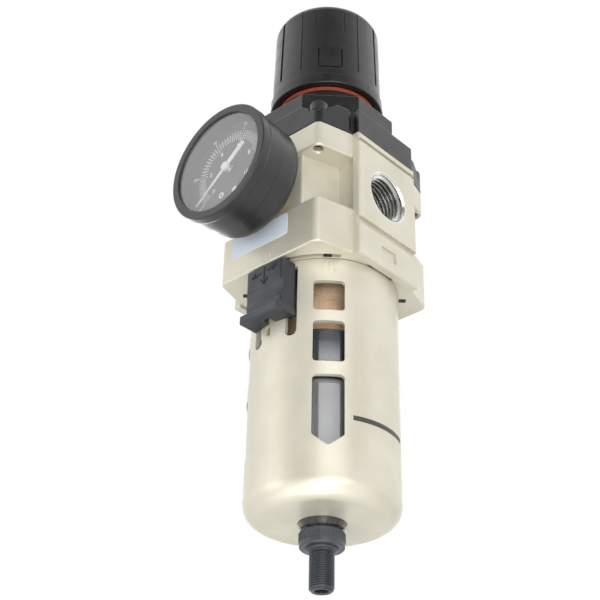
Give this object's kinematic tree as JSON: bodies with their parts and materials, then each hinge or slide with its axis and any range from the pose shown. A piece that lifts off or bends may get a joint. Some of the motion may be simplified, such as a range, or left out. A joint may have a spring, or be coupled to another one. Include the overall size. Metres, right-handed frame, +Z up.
{
  "type": "inline filter regulator",
  "caption": "Compressed-air filter regulator: threaded ports through a square body, knob above, gauge in front, guarded clear bowl with automatic drain below.",
  "frame": {"origin": "centre of the drain thread's lower end, on the main axis", "axes": "+Z up the main axis to the knob, +X out of the outlet port, -Y to the front where the gauge is"},
  "size_m": [0.07, 0.1013, 0.2722],
  "materials": {
    "cast_paint": "satin light champagne paint",
    "black_plastic": "fine textured",
    "dark_plastic": "moulded",
    "slate_plastic": "satin",
    "black_screw": "black finish",
    "orange_plastic": "gloss",
    "steel": "zinc plated",
    "spring_steel": "drawn wire",
    "brass": "turned",
    "rubber": "matt",
    "filter_fibre": "resin-bonded fibre",
    "clear_plastic": "clear",
    "float_grey": "matt",
    "gauge_black": "satin",
    "gauge_window": "clear",
    "dial_grey": "printed",
    "pointer_white": "white paint"
  },
  "bodies": {
    "housing": {"body_casting": "cast_paint", "bonnet": "black_plastic", "bonnet_screws": "black_screw", "unlock_ring": "orange_plastic", "thrust_washer": "brass", "adjusting_spring": "spring_steel", "diaphragm": "rubber", "valve_guide": "black_plastic", "valve_spring": "spring_steel", "deflector": "dark_plastic", "filter_element": "filter_fibre", "baffle": "dark_plastic", "gauge_case": "gauge_black", "gauge_bezel": "gauge_black", "gauge_glass": "gauge_window", "gauge_dial": "dial_grey", "gauge_movement": "brass", "gauge_stem": "brass", "bourdon_tube": "brass", "rear_plug": "steel"},
    "screw": {"adjusting_screw": "steel"},
    "knob": {"knob": "black_plastic"},
    "spring_seat": {"spring_seat": "steel"},
    "diaphragm_set": {"diaphragm_plate": "steel", "diaphragm_hub": "brass"},
    "valve": {"valve_stem": "brass", "valve_seal": "rubber"},
    "bowl_set": {"bowl_guard": "cast_paint", "clear_bowl": "clear_plastic", "bowl_seal": "rubber", "drain_barrel": "slate_plastic", "drain_seal": "rubber", "float_guide": "dark_plastic", "lock_spring": "spring_steel"},
    "lock_button": {"lock_button": "slate_plastic"},
    "float": {"float_body": "float_grey"},
    "pilot": {"pilot_valve": "float_grey"},
    "drain_ring": {"drain_ring": "slate_plastic"},
    "pointer": {"gauge_pointer": "pointer_white"}
  },
  "joints": [
    {"name": "knob_turn", "type": "hinge", "parent": "housing", "child": "screw", "pos_m": [0, 0, 0.2459], "axis": [0, 0, 1], "range_deg": [-2160, 0]},
    {"name": "knob_lock", "type": "slide", "parent": "screw", "child": "knob", "axis": [0, 0, 1], "range_m": [-0.003, 0]},
    {"name": "seat_travel", "type": "slide", "parent": "housing", "child": "spring_seat", "axis": [0, 0, 1], "range_m": [-0.009, 0], "deforming": ["adjusting_spring"]},
    {"name": "diaphragm_stroke", "type": "slide", "parent": "housing", "child": "diaphragm_set", "axis": [0, 0, 1], "range_m": [-0.0015, 0], "stiffness_N_per_m": 2000, "springref_m": 0.0005, "deforming": ["diaphragm"]},
    {"name": "valve_stroke", "type": "slide", "parent": "housing", "child": "valve", "axis": [0, 0, 1], "range_m": [-0.0015, 0], "deforming": ["valve_spring"]},
    {"name": "bowl_turn", "type": "hinge", "parent": "housing", "child": "bowl_set", "pos_m": [0, 0, 0.1268], "axis": [0, 0, 1], "range_deg": [0, 45]},
    {"name": "button_press", "type": "slide", "parent": "bowl_set", "child": "lock_button", "axis": [0, 0, 1], "range_m": [-0.005, 0], "stiffness_N_per_m": 400, "springref_m": 0.002, "deforming": ["lock_spring"]},
    {"name": "float_lift", "type": "slide", "parent": "bowl_set", "child": "float", "axis": [0, 0, 1], "range_m": [0, 0.004]},
    {"name": "pilot_lift", "type": "slide", "parent": "bowl_set", "child": "pilot", "axis": [0, 0, 1], "range_m": [0, 0.001]},
    {"name": "drain_turn", "type": "hinge", "parent": "bowl_set", "child": "drain_ring", "pos_m": [0, 0, 0.0164], "axis": [0, 0, 1], "range_deg": [0, 90]},
    {"name": "pointer_turn", "type": "hinge", "parent": "housing", "child": "pointer", "pos_m": [0, -0.0585, 0.1606], "axis": [0, 1, 0], "range_deg": [0, 270], "stiffness_Nm_per_rad": 0.0002, "springref_deg": -28.65}
  ],
  "couplings": [
    {"joint": "knob_turn", "follows": "seat_travel", "rad_per_m": 4188.8},
    {"joint": "valve_stroke", "follows": "diaphragm_stroke", "ratio": 1},
    {"joint": "pilot_lift", "follows": "float_lift", "ratio": 0.25}
  ]
}
